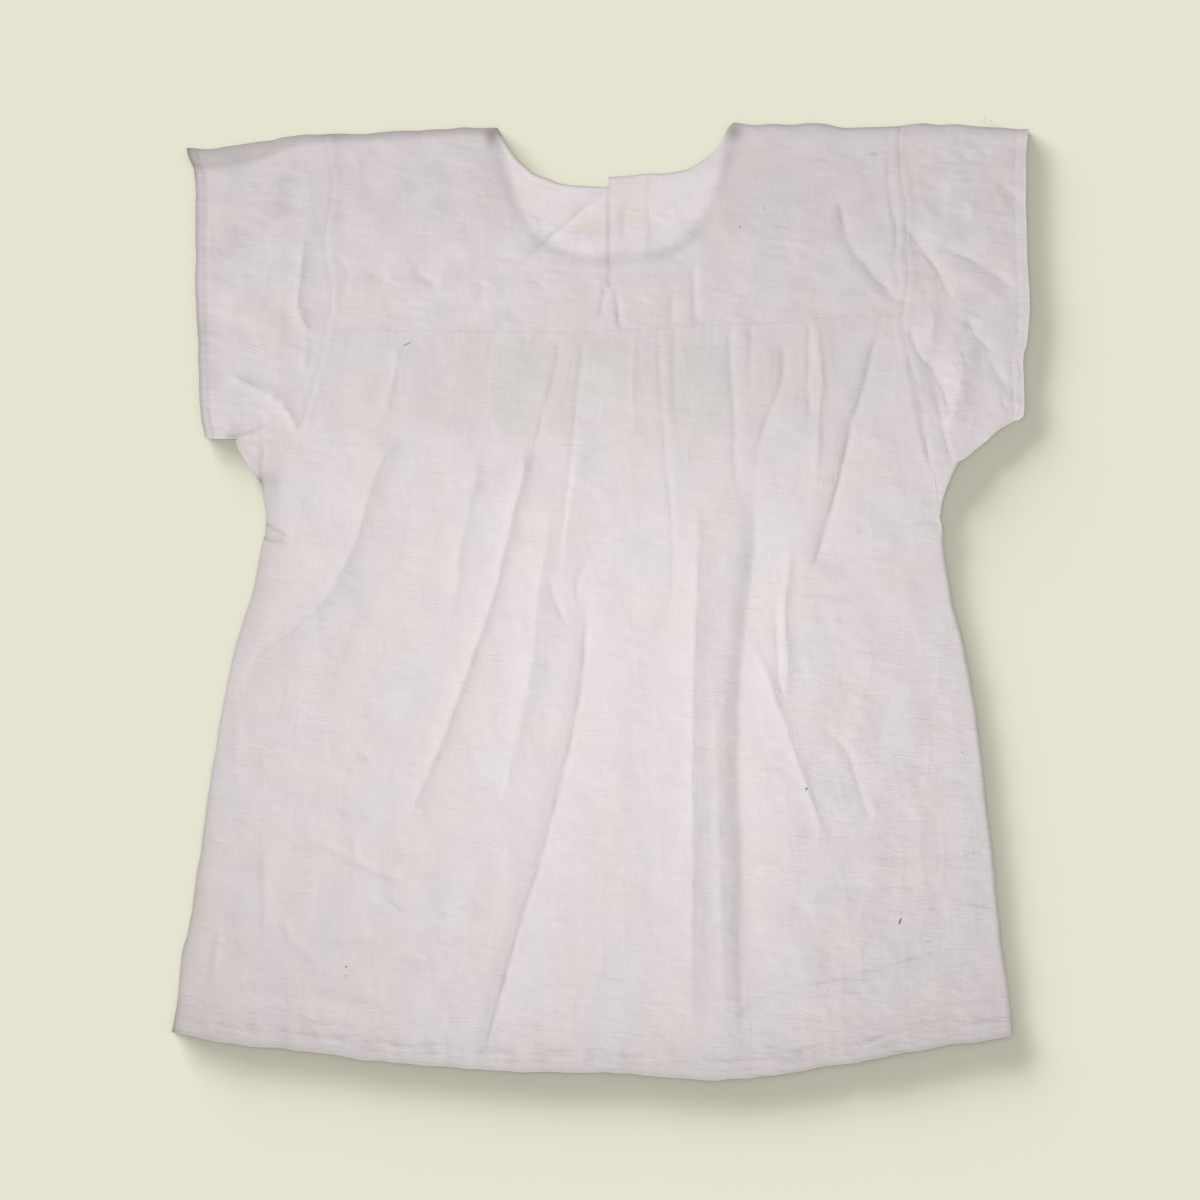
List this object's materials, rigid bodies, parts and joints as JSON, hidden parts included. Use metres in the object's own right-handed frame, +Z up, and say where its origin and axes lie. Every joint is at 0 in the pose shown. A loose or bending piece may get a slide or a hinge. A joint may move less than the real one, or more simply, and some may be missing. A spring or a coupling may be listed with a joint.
{
  "type": "smock blouse laid flat",
  "caption": "Loose short-sleeved smock blouse of thin white cotton, laid flat with its back up, with a yoke, centre-back slit, pleated lower back and underarm gussets.",
  "frame": {"origin": "middle of the blouse's outline, on the surface it lies on", "axes": "+Y from the hem to the neck, +X to the right as seen from above, +Z up from the surface"},
  "size_m": [0.6597, 0.7359, 0.0112],
  "materials": {
    "cotton_gauze": "matt, slightly crinkled plain weave"
  },
  "bodies": {
    "root": {"front_panel": "cotton_gauze", "back_yoke": "cotton_gauze", "back_skirt": "cotton_gauze", "sleeve_left": "cotton_gauze", "sleeve_right": "cotton_gauze", "gusset_left": "cotton_gauze", "gusset_right": "cotton_gauze"}
  },
  "joints": []
}
